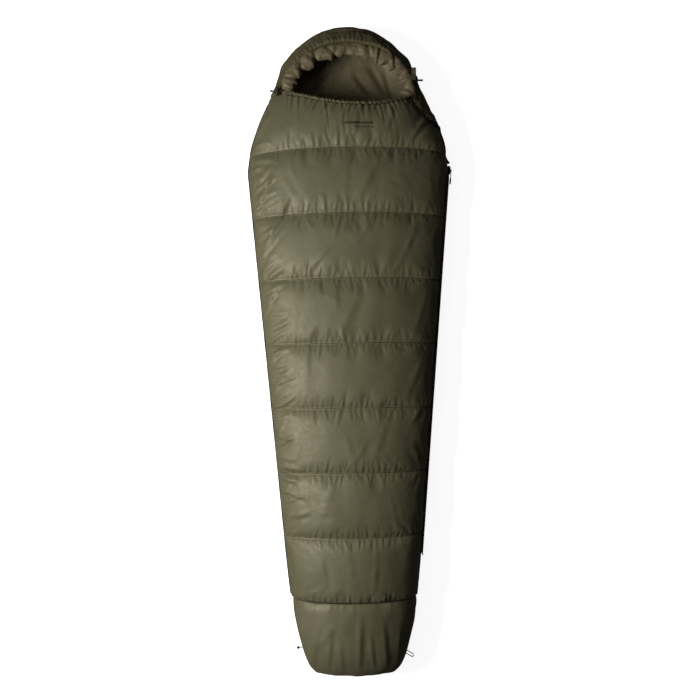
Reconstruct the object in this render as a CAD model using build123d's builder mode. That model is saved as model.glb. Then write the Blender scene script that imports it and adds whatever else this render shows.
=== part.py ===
# A mummy sleeping bag lying on its back, zipped up, with its hood open. Millimetres: +Y towards the
# head, +Z up, the zip on the +X side, the flat back on z = 0.
import math
import os

from build123d import *

os.makedirs("parts", exist_ok=True)

# Driving dimensions of the bag
foot_end, crown_end = -1100.0, 1100.0
side_z = 92.0            # height of the side seams, where the top and back panels meet
top_base, back_base = side_z + 1.0, side_z - 0.5
flat_share = 0.5         # how much of the back lies flat on the ground
seam_pitch = 215.0
first_seam = -844.0      # the seam of the foot box
seam_count = 8
seam_dip = 12.0          # how far a sewn-through seam lies below the crown of its baffles
side_slope = 0.0852      # the straight sides widen by this much for each millimetre towards the head
side_mid = 291.0         # half width of the straight sides at y = 0
shoulder_y = 612.0       # the widest place, and where the straight sides end
zip_foot_y = -700.0      # lower end of the zip
layer_depths = {"shell": (0.0, 1.0), "fill": (1.3, 28.0), "lining": (28.3, 29.2)}
inside_depth = layer_depths["lining"][1]
quilted_depth = 20.0     # surfaces deeper than this run smooth under the seams

half_widths = [
    (foot_end, 137), (-1079, 157), (-1038, 175), (-997, 187), (-914, 205), (first_seam, 217),
    (zip_foot_y, side_mid + side_slope * zip_foot_y), (shoulder_y, side_mid + side_slope * shoulder_y),
    (694, 332), (777, 304), (859, 266), (907, 241), (976, 220), (1004, 196), (1031, 167), (1059, 139),
    (1086, 94), (crown_end, 40),
]
crowns = [
    (foot_end, 150), (-1079, 174), (-1038, 194), (-997, 205), (first_seam, 214), (0, 216), (694, 216), (777, 211),
    (859, 196), (976, 180), (1031, 168), (1059, 152), (1086, 130), (crown_end, 112),
]
undersides = [(foot_end, 30), (-1079, 12), (-1038, 0), (1004, 0), (1059, 15), (1086, 40), (crown_end, 62)]

seams = [first_seam + seam_pitch * i for i in range(seam_count)]
middles = [y + seam_pitch / 2 for y in seams[:-1]]


def along(table, y):
    """The value at y on a run of straight lines."""
    if y <= table[0][0]:
        return table[0][1]
    for (y0, v0), (y1, v1) in zip(table, table[1:]):
        if y <= y1:
            return v0 + (v1 - v0) * (y - y0) / (y1 - y0)
    return table[-1][1]


def stations(start, stop):
    """Where the cross-sections stand from start to stop."""
    inner = sorted(set(seams + middles + [y for y, _ in half_widths] + [720, 940]))
    return [start] + [y for y in inner if start + 1 < y < stop - 1] + [stop]


def arch(y, depth, top, base):
    """Half of the bag's cross-section at y, this deep in the wall: the top's arch or the back's tray."""
    half = along(half_widths, y) - depth
    if top:
        rise = along(crowns, y) - depth - base
        if depth < quilted_depth and y in seams:
            rise -= seam_dip
        EllipticalCenterArc((0, base), half, rise, 0, arc_size=180)
        return
    drop = base - along(undersides, y) - depth
    flat = flat_share * along(half_widths, y)
    right = EllipticalCenterArc((flat, base), half - flat, drop, -90, arc_size=90)
    left = EllipticalCenterArc((-flat, base), half - flat, drop, 180, arc_size=90)
    Line(right @ 0, left @ 1)


def solid_section(y, depth, top, base):
    with BuildSketch(Plane.XZ.offset(-y)) as face:
        with BuildLine():
            arch(y, depth, top, base)
            half = along(half_widths, y) - depth
            Line((-half, base), (half, base))
        make_face()
    return face.sketch


def wall_section(y, outer, inner, top, base):
    with BuildSketch(Plane.XZ.offset(-y)) as face:
        with BuildLine():
            arch(y, outer, top, base)
            arch(y, inner, top, base)
            half = along(half_widths, y)
            for side in (-1, 1):
                Line((side * (half - outer), base), (side * (half - inner), base))
        make_face()
    return face.sketch


def panel(top, outer, inner, start, stop, base=None):
    """One layer of the top's or the back's wall from start to stop, closed where it meets an end."""
    base = base or (top_base if top else back_base)
    from_y, to_y = max(start, foot_end + inner), min(stop, crown_end - inner)
    with BuildPart() as layer:
        loft([wall_section(y, outer, inner, top, base) for y in stations(from_y, to_y)], ruled=True)
        if start < from_y:
            ends = stations(foot_end + outer, from_y)
            loft([solid_section(y, outer, top, base) for y in ends], ruled=True)
        if stop > to_y:
            ends = stations(to_y, crown_end - outer)
            loft([solid_section(y, outer, top, base) for y in ends], ruled=True)
    return layer.part


def surface_z(x, y):
    """Height of the bag's upper surface."""
    ratio = min(abs(x) / along(half_widths, y), 1)
    return top_base + (along(crowns, y) - top_base) * math.sqrt(1 - ratio ** 2)


def save(piece, name):
    piece.part.label = name
    export_step(piece.part, f"parts/{name}.step")


# The fold of the top panel: everything on the zip side of this line turns back once the zip is open
fold_foot, fold_chest = (253.0, -442.0), (-132.0, 826.0)
fold_length = math.dist(fold_foot, fold_chest)
fold_along = ((fold_chest[0] - fold_foot[0]) / fold_length, (fold_chest[1] - fold_foot[1]) / fold_length)
fold_away = (fold_along[1], -fold_along[0])
fold_plane = Plane(origin=(*fold_foot, 0), x_dir=(*fold_along, 0), z_dir=(*fold_away, 0))
fold_gap = 0.5

# The outline of the top panel on the plane of the side seams. Going up, its edge leans away from the
# fold, so that the folding corner lifts clear of the hood.
edge_lean = math.tan(math.radians(22))
lean_direction = (fold_away[0] * edge_lean, fold_away[1] * edge_lean, 1)
chest_edge = [(-241, 865), (-70, 800), (177, 834)]
zip_edge = [(177, 834), (215, 783), (308, 745)]
far_out = 520.0
edge_gap = 1.5
above_all = 220.0


def top_outline(grow=0.0):
    with BuildSketch(Plane.XY.offset(side_z)) as outline:
        with BuildLine():
            Polyline(zip_edge[2], (far_out, 700), (far_out, first_seam), (-far_out, first_seam),
                     (-far_out, 890), chest_edge[0])
            ThreePointArc(*chest_edge)
            ThreePointArc(*zip_edge)
        make_face()
        if grow:
            offset(amount=grow, kind=Kind.INTERSECTION)
    return outline.sketch


def on_edge(base, lift=0.0, away=(0.0, 0.0)):
    """The point of the upper surface where the top panel's edge leans to from this point of its outline."""
    z = side_z
    for _ in range(30):
        lean = z - side_z
        x, y = base.X + lean_direction[0] * lean, base.Y + lean_direction[1] * lean
        z = surface_z(x, y)
    return (x + away[0], y + away[1], z + lift)


with BuildPart() as top_block:
    extrude(top_outline(), amount=above_all, dir=lean_direction)
with BuildPart() as top_block_grown:
    extrude(top_outline(edge_gap), amount=above_all, dir=lean_direction)

# The face opening of the hood
face_centre, face_half, face_reach = (5.0, 872.0), 225.0, 160.0


def face_oval(inset, low, high, mode=Mode.ADD):
    """A block of the face opening's outline, drawn in by inset, from low to high."""
    with BuildSketch(Plane.XY.offset(low)) as outline:
        with Locations(face_centre):
            Ellipse(face_half - inset, face_reach - inset)
    extrude(outline.sketch, amount=high - low, mode=mode)


# Shell, insulation and lining of each panel
hood_start = 560.0
for layer_name, (outer, inner) in layer_depths.items():
    with BuildPart() as back:
        add(panel(False, outer, inner, first_seam, crown_end))
    save(back, f"back_{layer_name}")

    with BuildPart() as foot:
        add(panel(False, outer, inner, foot_end, first_seam - 0.3, side_z))
        add(panel(True, outer, inner, foot_end, first_seam - 0.3, side_z))
    save(foot, f"foot_{layer_name}")

    with BuildPart() as hood:
        add(panel(True, outer, inner, hood_start, crown_end))
        add(top_block_grown.part, mode=Mode.SUBTRACT)
        face_oval(0, side_z + 10, side_z + above_all, mode=Mode.SUBTRACT)
    save(hood, f"hood_{layer_name}")

    for name, keep, shift in (("top", Keep.BOTTOM, -fold_gap), ("flap", Keep.TOP, fold_gap)):
        with BuildPart() as part_of_top:
            add(panel(True, outer, inner, first_seam, 900))
            add(top_block.part, mode=Mode.INTERSECT)
            split(bisect_by=fold_plane.offset(shift), keep=keep)
        save(part_of_top, f"{name}_{layer_name}")

# The gathered rim of the hood, with its cord in a tunnel
rim_low, rim_high, rim_width = 122.0, 152.0, 40.0
rim_cord_inset, rim_cord_z, cord = 12.0, 138.0, 3.0

hood_lock_at = (234.0, 905.0, rim_cord_z)
collar_lock_at = (-234.0, 869.0, 155.0)
lock_slide = 10.0        # how far a lock travels on its cord before the knot stops it
strand_gap = 0.1

with BuildPart() as hood_rim:
    face_oval(1.5, rim_low, rim_high)
    face_oval(rim_width, rim_low - 1, rim_high + 1, mode=Mode.SUBTRACT)
    add(top_block_grown.part, mode=Mode.SUBTRACT)
    with BuildPart(mode=Mode.PRIVATE) as tunnel:
        face_oval(rim_cord_inset - 0.6, rim_cord_z - cord / 2 - 0.6, rim_cord_z + cord / 2 + 0.6)
        face_oval(rim_cord_inset + cord + 0.6, rim_low, rim_high, mode=Mode.SUBTRACT)
    add(tunnel.part, mode=Mode.SUBTRACT)
    with BuildSketch(Plane.YZ.offset(hood_lock_at[0] - 30)) as cord_exit:
        with Locations((hood_lock_at[1], rim_cord_z)):
            Rectangle(2 * cord + 2, cord + 1.2)
    extrude(cord_exit.sketch, amount=30, mode=Mode.SUBTRACT)
save(hood_rim, "hood_rim")


def lock_strands(at, start_x):
    """Two strands of cord side by side from start_x out through a lock to the knot."""
    outward = math.copysign(1, at[0])
    reach = abs(at[0]) + 7 + lock_slide - abs(start_x)
    with BuildSketch(Plane.YZ.offset(start_x)) as strands:
        with Locations((at[1], at[2])):
            with GridLocations(cord + strand_gap, 0, 2, 1):
                Circle(cord / 2)
    extrude(strands.sketch, amount=outward * reach)


def knot(at):
    """The knot that ends a drawcord, past its lock."""
    outward = math.copysign(1, at[0])
    centre = (at[0] + outward * (7 + lock_slide + 3.2), at[1], at[2])
    with Locations(centre):
        Sphere(3.6)
    with Locations((centre[0] + outward * 1.5, centre[1] + 1.8, centre[2])):
        Sphere(2.6)
    strand_ends = Plane.YZ.offset(at[0] + outward * (7 + lock_slide))
    split(bisect_by=strand_ends, keep=Keep.TOP if outward > 0 else Keep.BOTTOM)


hood_cord_start = hood_lock_at[0] - 19.5
with BuildPart() as hood_drawcord:
    face_oval(rim_cord_inset, rim_cord_z - cord / 2, rim_cord_z + cord / 2)
    face_oval(rim_cord_inset + cord, rim_low, rim_high, mode=Mode.SUBTRACT)
    add(top_block_grown.part, mode=Mode.SUBTRACT)
save(hood_drawcord, "hood_drawcord")

with BuildPart() as hood_cord_ends:
    lock_strands(hood_lock_at, hood_cord_start)
save(hood_cord_ends, "hood_cord_ends")
with BuildPart() as hood_cord_knot:
    knot(hood_lock_at)
save(hood_cord_knot, "hood_cord_knot")

# The chest hem with its cord, along the upper edge of the top panel
hem, hem_bore = 9.0, 4.4
chest_arc = ThreePointArc(*chest_edge, mode=Mode.PRIVATE)
hem_stops = [0.05 + 0.9 * i / 14 for i in range(15)]
hem_points = [on_edge(chest_arc @ u, lift=hem / 2 + 2.5, away=(0, -5)) for u in hem_stops]


def swept(points, radius, bore=0.0, bend=30.0):
    """A round tube along straight runs joined by arcs, hollow if it has a bore."""
    with BuildPart() as tube:
        with BuildLine() as path:
            FilletPolyline(*points, radius=bend)
        with BuildSketch(Plane(origin=path.line @ 0, z_dir=path.line % 0)):
            Circle(radius)
            if bore:
                Circle(bore, mode=Mode.SUBTRACT)
        sweep()
    return tube.part


for name, keep, shift in (("", Keep.BOTTOM, -fold_gap), ("_flap", Keep.TOP, fold_gap)):
    with BuildPart() as chest_hem:
        add(swept(hem_points, hem / 2, hem_bore / 2))
        split(bisect_by=fold_plane.offset(shift), keep=keep)
    save(chest_hem, f"chest_hem{name}")
    with BuildPart() as chest_drawcord:
        add(swept(hem_points, cord / 2))
        split(bisect_by=fold_plane.offset(shift), keep=keep)
    save(chest_drawcord, f"chest_drawcord{name}")

with BuildPart() as chest_cord_ends:
    lock_strands(collar_lock_at, -215.0)
save(chest_cord_ends, "chest_cord_ends")
with BuildPart() as chest_cord_knot:
    knot(collar_lock_at)
save(chest_cord_knot, "chest_cord_knot")

# Cord locks: a barrel, a spring in its closed end and a button, both crossed by the cord
barrel_radius, bore_radius, button_radius = 6.5, 5.2, 5.0
barrel_back, barrel_front, bore_back = -13.0, 9.0, -11.0
button_back, button_front, button_travel = -5.0, 14.0, 4.0
slot_half, slot_height = 3.5, 3.8
spring_height = 1.4


def cylinder_along_y(at, radius, back, front, mode=Mode.ADD):
    with BuildSketch(Plane.XZ.offset(-(at[1] + back))) as disc:
        with Locations((at[0], at[2])):
            Circle(radius)
    extrude(disc.sketch, amount=-(front - back), mode=mode)


def cord_slot(at, back, front, mode=Mode.SUBTRACT):
    with BuildSketch(Plane.YZ.offset(at[0] - 10)) as slot:
        with Locations((at[1] + (back + front) / 2, at[2])):
            Rectangle(front - back, slot_height)
    extrude(slot.sketch, amount=20, mode=mode)


for name, at in (("hood_lock", hood_lock_at), ("collar_lock", collar_lock_at)):
    with BuildPart() as barrel:
        cylinder_along_y(at, barrel_radius, barrel_back, barrel_front)
        chamfer(barrel.edges().filter_by(GeomType.CIRCLE), length=0.8)
        cylinder_along_y(at, bore_radius, bore_back, barrel_front, mode=Mode.SUBTRACT)
        cord_slot(at, -slot_half, slot_half)
    save(barrel, f"{name}_barrel")
    with BuildPart() as button:
        cylinder_along_y(at, button_radius, button_back, button_front)
        chamfer(button.edges().filter_by(GeomType.CIRCLE).sort_by(Axis.Y)[-1:], length=1.0)
        cord_slot(at, -slot_half, slot_half + button_travel)
    save(button, f"{name}_button")
    with BuildPart() as spring:
        cylinder_along_y(at, 4.0, bore_back, bore_back + spring_height)
        cylinder_along_y(at, 3.0, bore_back, bore_back + spring_height, mode=Mode.SUBTRACT)
    save(spring, f"{name}_spring")

# The binding of the left side seam
with BuildPart() as side_binding:
    binding_points = [(-along(half_widths, y) - 2.2, y, side_z + 0.25)
                      for y in (first_seam + 8, zip_foot_y, shoulder_y, 694, 777, 850)]
    add(swept(binding_points, 1.6))
save(side_binding, "side_binding")


# The zip on the right side. On its plane x runs along the side towards the head, y is up and z points
# out of the bag.
def zip_plane(y):
    return Plane(origin=(side_mid + side_slope * y, y, side_z), x_dir=(side_slope, 1, 0),
                 z_dir=(1, -side_slope, 0))


run_scale = math.hypot(1, side_slope)    # length along the side for each millimetre of y
coil_low, coil_high = 4.0, 6.6           # distances out from the side
coil_from, coil_to = 1.3, 4.4            # distances up or down from the middle of the zip
tape_low, tape_high, tape_to = 4.9, 5.7, 16.0
slider_y = shoulder_y
slider_long, slider_tall = 22.0, 13.0
coil_clear = 12.0                        # the upper half starts this far from the slider
fold_y = -442.0


def zip_strip(y0, y1, near, far, low, high, up):
    """A straight strip of the zip's upper or lower half between two heights of y."""
    middle = (near + far) / 2 * (1 if up else -1)
    with BuildSketch(zip_plane(y0).offset(low)) as strip:
        with Locations(((y1 - y0) * run_scale / 2, middle)):
            Rectangle((y1 - y0) * run_scale, far - near)
    extrude(strip.sketch, amount=high - low)


zip_arc = ThreePointArc(*zip_edge, mode=Mode.PRIVATE)
upper_stops = (0.06, 0.2, 0.35, 0.5, 0.65, 0.8)
upper_lift = 5.0
slider_half_y = slider_long / 2 + coil_clear
curve_start = slider_y + slider_half_y

with BuildPart() as zip_coil_back:
    zip_strip(zip_foot_y, curve_start - 4, coil_from, coil_to, coil_low, coil_high, up=False)
    coil_points = [on_edge(zip_arc @ u, lift=upper_lift, away=(4.5, 4.5)) for u in upper_stops]
    coil_points += [(331, 722, 99), (345, 676, 92), (350.5, curve_start, 89)]
    add(swept(coil_points, 1.5, bend=20))
save(zip_coil_back, "zip_coil_back")

with BuildPart() as zip_tape_back:
    zip_strip(zip_foot_y, curve_start - 4, coil_to, tape_to, tape_low, tape_high, up=False)
save(zip_tape_back, "zip_tape_back")

with BuildPart() as zip_coil_fixed:
    zip_strip(zip_foot_y, fold_y - 4, coil_from, coil_to, coil_low, coil_high, up=True)
save(zip_coil_fixed, "zip_coil_fixed")

with BuildPart() as zip_tape_fixed:
    zip_strip(zip_foot_y, fold_y - 10, coil_to, tape_to, tape_low, tape_high, up=True)
save(zip_tape_fixed, "zip_tape_fixed")

with BuildPart() as zip_coil_flap:
    zip_strip(fold_y + 4, slider_y - slider_half_y, coil_from, coil_to, coil_low, coil_high, up=True)
    coil_points = [on_edge(zip_arc @ u, lift=upper_lift + 4, away=(-4.5, -4.5)) for u in upper_stops]
    add(swept(coil_points, 1.5, bend=20))
save(zip_coil_flap, "zip_coil_flap")

with BuildPart() as zip_tape_flap:
    zip_strip(fold_y + 4, slider_y - slider_half_y, coil_to, tape_to, tape_low, tape_high, up=True)
save(zip_tape_flap, "zip_tape_flap")

with BuildPart() as zip_bottom_stop:
    with BuildSketch(zip_plane(zip_foot_y).offset(3.9)) as stop_face:
        with Locations((-4.5, 0)):
            Rectangle(7, 10)
    extrude(stop_face.sketch, amount=3.0)
save(zip_bottom_stop, "zip_bottom_stop")

top_stops = (("zip_top_stop_back", (4.5, 4.5), upper_lift), ("zip_top_stop_flap", (-4.5, -4.5), upper_lift + 4))
for name, away, lift in top_stops:
    with BuildPart() as top_stop:
        stop_point = on_edge(zip_arc @ upper_stops[0], lift=lift, away=away)
        start_point = on_edge(zip_arc @ upper_stops[1], lift=lift, away=away)
        stop_way = Vector(*stop_point) - Vector(*start_point)
        with BuildSketch(Plane(origin=stop_point, z_dir=stop_way)) as stop_end:
            Rectangle(4.4, 4.4)
        extrude(stop_end.sketch, amount=4.0)
    save(top_stop, name)

# The slider: two plates with lips round the coils, joined by a post, and lugs for the pull's pin
slider = zip_plane(slider_y)
plate_in, plate_out = (2.4, 3.4), (7.2, 8.6)
lip_width, lip_height = 1.6, 1.0
pin_z, pin_radius = 11.0, 0.9


def block(low, high, spots, width, height, mode=Mode.ADD):
    """Blocks on the slider's plane at the given spots."""
    with BuildSketch(slider.offset(low)) as face:
        with Locations(*spots):
            Rectangle(width, height)
    extrude(face.sketch, amount=high - low, mode=mode)


lip_y = (slider_tall - lip_width) / 2
with BuildPart() as zip_slider:
    block(*plate_in, [(0, 0)], slider_long, slider_tall)
    block(*plate_out, [(0, 0)], slider_long, slider_tall)
    block(plate_in[1], plate_in[1] + lip_height, [(0, -lip_y), (0, lip_y)], slider_long, lip_width)
    block(plate_out[0] - lip_height, plate_out[0], [(0, -lip_y), (0, lip_y)], slider_long, lip_width)
    block(plate_in[1], plate_out[0], [(slider_long / 2 - 2.5, 0)], 5, 2)
    block(plate_out[1], pin_z + 2, [(0, -4), (0, 4)], 5, 1.6)
    with BuildSketch(Plane(origin=slider.from_local_coords((0, -6, pin_z)), z_dir=(0, 0, 1))) as pin_hole:
        Circle(pin_radius + 0.05)
    extrude(pin_hole.sketch, amount=12, mode=Mode.SUBTRACT)
save(zip_slider, "zip_slider")

with BuildPart() as slider_pin:
    with BuildSketch(Plane(origin=slider.from_local_coords((0, -4.8, pin_z)), z_dir=(0, 0, 1))) as pin_end:
        Circle(pin_radius)
    extrude(pin_end.sketch, amount=9.6)
save(slider_pin, "slider_pin")

pull_long, pull_half_thick, eye_half = 34.0, 0.9, 2.7
with BuildPart() as zip_pull:
    with BuildSketch(slider.offset(pin_z - pull_half_thick)) as pull_shape:
        with BuildLine():
            Polyline((0, -eye_half), (-6, -eye_half), (-10, -4), (-pull_long, -4), (-pull_long, 4),
                     (-10, 4), (-6, eye_half), (0, eye_half), close=True)
        make_face()
    extrude(pull_shape.sketch, amount=2 * pull_half_thick)
    with BuildSketch(Plane(origin=slider.from_local_coords((0, -eye_half, pin_z)), z_dir=(0, 0, 1))) as eye:
        Circle(2.2)
    extrude(eye.sketch, amount=2 * eye_half)
    with BuildSketch(Plane(origin=slider.from_local_coords((0, -6, pin_z)), z_dir=(0, 0, 1))) as eye_hole:
        Circle(pin_radius + 0.25)
    extrude(eye_hole.sketch, amount=12, mode=Mode.SUBTRACT)
save(zip_pull, "zip_pull")

with BuildPart() as pull_grip:
    block(pin_z - 2.0, pin_z + 2.0, [(-36, 0)], 20, 11)
    chamfer(pull_grip.edges().filter_by(Axis.Z), length=1.2)
    add(zip_pull.part, mode=Mode.SUBTRACT)
save(pull_grip, "pull_grip")

# The draft tube behind the zip
draft_radius, draft_in, draft_z = 12.0, 50.0, -15.0
with BuildPart() as draft_tube:
    draft_start = zip_plane(-690)
    with BuildSketch(Plane(origin=draft_start.from_local_coords((0, draft_z, -draft_in)),
                           z_dir=draft_start.x_dir)) as draft_end:
        Circle(draft_radius)
    extrude(draft_end.sketch, amount=1285 * run_scale)
save(draft_tube, "draft_tube")

# The neck tab of hook tape, folded back on the hood's rim, and its loop patch on the folding corner
tab_x, tab_y, tab_z, tab_long, tab_wide, tab_thick = 225.0, 896.0, 161.0, 42.0, 15.0, 1.6
with BuildPart() as neck_tab:
    with BuildSketch(Plane.XY.offset(tab_z)) as tab_face:
        with Locations((tab_x, tab_y + tab_long / 2)):
            RectangleRounded(tab_wide, tab_long, 3)
    extrude(tab_face.sketch, amount=tab_thick)
save(neck_tab, "neck_tab")
with BuildPart() as neck_tab_hook:
    with BuildSketch(Plane.XY.offset(tab_z + tab_thick)) as hook_face:
        with Locations((tab_x, tab_y + tab_long - 13)):
            RectangleRounded(tab_wide - 3, 20, 2)
    extrude(hook_face.sketch, amount=1.2)
save(neck_tab_hook, "neck_tab_hook")
with BuildPart() as loop_patch:
    patch_x, patch_y = 172.0, 800.0
    patch_z = surface_z(patch_x, patch_y)
    lean_x = patch_z - surface_z(patch_x + 1, patch_y)
    lean_y = patch_z - surface_z(patch_x, patch_y + 1)
    with BuildSketch(Plane(origin=(patch_x + 1.5 * lean_x, patch_y + 1.5 * lean_y, patch_z + 1.5),
                           x_dir=(1, 0, -lean_x), z_dir=(lean_x, lean_y, 1))) as patch_face:
        RectangleRounded(16, 20, 2)
    extrude(patch_face.sketch, amount=1.0)
save(loop_patch, "loop_patch")

# What hangs at the foot: a cord with a knob on the left, a webbing loop on the right
with BuildPart() as foot_outside:
    loft([solid_section(y, -0.2, True, side_z) for y in stations(foot_end, -900)], ruled=True)
    loft([solid_section(y, -0.2, False, side_z) for y in stations(foot_end, -900)], ruled=True)

knob_at, knob_radius, foot_cord_radius = (-203.0, -1049.0, 5.0), 5.0, 1.5
foot_cord_points = [(-168.5, -1031, 50), (-178, -1034, 46), (-185.5, -1038, 36), (-189.5, -1041, 24),
                    (-195.5, -1045, 13), knob_at]
runs = [math.dist(a, b) for a, b in zip(foot_cord_points, foot_cord_points[1:])]
bends = []
for i in range(len(runs) - 1):
    before = Vector(*foot_cord_points[i + 1]) - Vector(*foot_cord_points[i])
    after = Vector(*foot_cord_points[i + 2]) - Vector(*foot_cord_points[i + 1])
    half_turn = math.radians(before.get_angle(after)) / 2
    bends.append(0.45 * min(runs[i], runs[i + 1]) / math.tan(half_turn))
print("foot cord bends", [round(b, 1) for b in bends], "runs", [round(r, 1) for r in runs])
with BuildPart() as foot_cord:
    with BuildLine() as foot_cord_path:
        FilletPolyline(*foot_cord_points, radius=bends)
    with BuildSketch(Plane(origin=foot_cord_path.line @ 0, z_dir=foot_cord_path.line % 0)):
        Circle(foot_cord_radius)
    sweep()
    cord_length = foot_cord_path.wires()[0].length
    print("foot cord", round(cord_length, 1), "volume over section times length",
          round(foot_cord.part.volume / (math.pi * foot_cord_radius ** 2 * cord_length), 3))
    with Locations(knob_at):
        Sphere(knob_radius, mode=Mode.SUBTRACT)
save(foot_cord, "foot_cord")
with BuildPart() as foot_cord_knob:
    with Locations(knob_at):
        Sphere(knob_radius)
save(foot_cord_knob, "foot_cord_knob")

loop_inside, loop_thick, loop_long, loop_wide = 9.0, 1.2, 42.0, 8.0
with BuildPart() as foot_loop:
    with BuildSketch(Plane(origin=(183, -1047, 80), x_dir=(0.86, -0.51, 0), z_dir=(0, 0, 1))) as loop_face:
        SlotOverall(loop_long, loop_inside + 2 * loop_thick)
        SlotOverall(loop_long - 2 * loop_thick, loop_inside, mode=Mode.SUBTRACT)
    extrude(loop_face.sketch, amount=loop_wide)
    add(foot_outside.part, mode=Mode.SUBTRACT)
save(foot_loop, "foot_loop")
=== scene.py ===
# A mummy sleeping bag lying on its back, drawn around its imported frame: quilted panels, gathered hood
# rim, zip, cord locks and loops. Metres, in the frame of the part.
import math
import bmesh
import bpy
import numpy as np
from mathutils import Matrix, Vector


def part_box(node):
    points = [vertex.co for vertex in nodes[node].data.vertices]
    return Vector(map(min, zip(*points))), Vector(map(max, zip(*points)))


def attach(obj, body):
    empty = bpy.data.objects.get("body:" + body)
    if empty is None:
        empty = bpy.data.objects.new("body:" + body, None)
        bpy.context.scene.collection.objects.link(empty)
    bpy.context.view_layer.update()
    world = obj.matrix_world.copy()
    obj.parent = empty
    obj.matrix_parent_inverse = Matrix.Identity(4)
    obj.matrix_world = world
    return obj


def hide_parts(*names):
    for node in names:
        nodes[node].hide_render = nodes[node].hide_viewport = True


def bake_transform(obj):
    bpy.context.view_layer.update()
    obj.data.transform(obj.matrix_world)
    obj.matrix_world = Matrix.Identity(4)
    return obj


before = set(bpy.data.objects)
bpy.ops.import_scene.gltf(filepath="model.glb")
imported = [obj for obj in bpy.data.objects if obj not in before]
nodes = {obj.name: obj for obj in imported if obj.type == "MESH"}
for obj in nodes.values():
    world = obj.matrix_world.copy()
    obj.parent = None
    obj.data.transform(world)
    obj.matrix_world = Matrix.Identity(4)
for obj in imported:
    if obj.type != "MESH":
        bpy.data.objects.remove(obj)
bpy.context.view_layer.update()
scene = bpy.context.scene
mm = 0.001

# Camera, straight above, with the head at the top of the picture
viewer = {"place": (-0.0053, -0.172, 2.7), "roll": -0.87, "lens": 38.98, "shift": 0.0714}
cameraData = bpy.data.cameras.new("overhead")
cameraData.sensor_width = 36.0
cameraData.lens = viewer["lens"]
cameraData.shift_y = viewer["shift"]
camera = bpy.data.objects.new("overhead", cameraData)
camera.location = viewer["place"]
camera.rotation_euler = (0, 0, math.radians(viewer["roll"]))
scene.collection.objects.link(camera)
scene.camera = camera
scene.view_settings.view_transform = "Standard"


def linear(code):  # an sRGB hex value as linear colour
    parts = [int(code[i:i + 2], 16) / 255 for i in (1, 3, 5)]
    return (*[p / 12.92 if p <= 0.04045 else ((p + 0.055) / 1.055) ** 2.4 for p in parts], 1.0)


def addNode(tree, kind, settings=None, links=None):  # a node with its values and what feeds it
    node = tree.nodes.new(kind)
    for key, value in (settings or {}).items():
        if key in node.inputs:
            node.inputs[key].default_value = value
        else:
            setattr(node, key, value)
    for key, source in (links or {}).items():
        tree.links.new(source, node.inputs[key])
    return node


def newMaterial(name):
    material = bpy.data.materials.new(name)
    material.use_nodes = True
    material.node_tree.nodes.clear()
    return material, material.node_tree


def closeMaterial(tree, shader):
    out = addNode(tree, "ShaderNodeOutputMaterial")
    tree.links.new(shader.outputs[0], out.inputs["Surface"])


plainCloth = {"cloudScale": 9.0, "crinkleScale": 40.0, "crinkleDepth": 0.3 * mm, "thread": 1.4 * mm,
              "threadDepth": 0.12 * mm, "rough": 0.5, "sheen": 0.2, "specular": 0.5}
noiseSpan = {"From Min": 0.3, "From Max": 0.7}  # where most of a noise lies
waveRepeat = 0.31416  # metres between the ridges of a Wave texture at scale 1


def clothMaterial(name, deep, light, sheenTint, **changes):  # two close shades, crinkles and threads
    look = {**plainCloth, **changes}
    material, tree = newMaterial(name)
    place = addNode(tree, "ShaderNodeTexCoord").outputs["Object"]
    cloudy = addNode(tree, "ShaderNodeTexNoise", {
        "Scale": look["cloudScale"], "Detail": 4.0, "Roughness": 0.6}, {"Vector": place})
    fine = addNode(tree, "ShaderNodeTexNoise", {"Scale": look["crinkleScale"] * 2.3, "Detail": 3.0},
                   {"Vector": place})
    shade = addNode(tree, "ShaderNodeMix", {"data_type": "RGBA"})
    shade.inputs[6].default_value = linear(deep)  # the colour sockets of a Mix node sit after its numbers
    shade.inputs[7].default_value = linear(light)
    spread = addNode(tree, "ShaderNodeMapRange", {**noiseSpan, "To Min": 0.15, "To Max": 0.85},
                     {"Value": cloudy.outputs["Fac"]})
    tree.links.new(spread.outputs[0], shade.inputs[0])
    gloss = addNode(tree, "ShaderNodeMapRange", {
        **noiseSpan, "To Min": look["rough"] - 0.06, "To Max": look["rough"] + 0.07},
        {"Value": fine.outputs["Fac"]})
    crinkle = addNode(tree, "ShaderNodeTexNoise", {
        "Scale": look["crinkleScale"], "Detail": 5.0, "Roughness": 0.55, "Distortion": 0.8},
        {"Vector": place})
    weave = addNode(tree, "ShaderNodeMath", {"operation": "MULTIPLY"})
    for socket, direction in enumerate("XY"):  # warp and weft
        threads = addNode(tree, "ShaderNodeTexWave", {
            "bands_direction": direction, "Scale": waveRepeat / look["thread"], "Distortion": 0.4,
            "Detail": 1.0}, {"Vector": place})
        tree.links.new(threads.outputs["Fac"], weave.inputs[socket])
    soft = addNode(tree, "ShaderNodeBump", {"Strength": 1.0, "Distance": look["crinkleDepth"]},
                   {"Height": crinkle.outputs["Fac"]})
    woven = addNode(tree, "ShaderNodeBump", {"Strength": 0.5, "Distance": look["threadDepth"]},
                    {"Height": weave.outputs[0], "Normal": soft.outputs[0]})
    shader = addNode(tree, "ShaderNodeBsdfPrincipled", {
        "Sheen Weight": look["sheen"], "Sheen Roughness": 0.4, "Sheen Tint": linear(sheenTint),
        "Specular IOR Level": look["specular"], "Specular Tint": linear(sheenTint), "IOR": 1.5},
        {"Base Color": shade.outputs[2], "Roughness": gloss.outputs[0], "Normal": woven.outputs[0]})
    closeMaterial(tree, shader)
    return material


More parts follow.
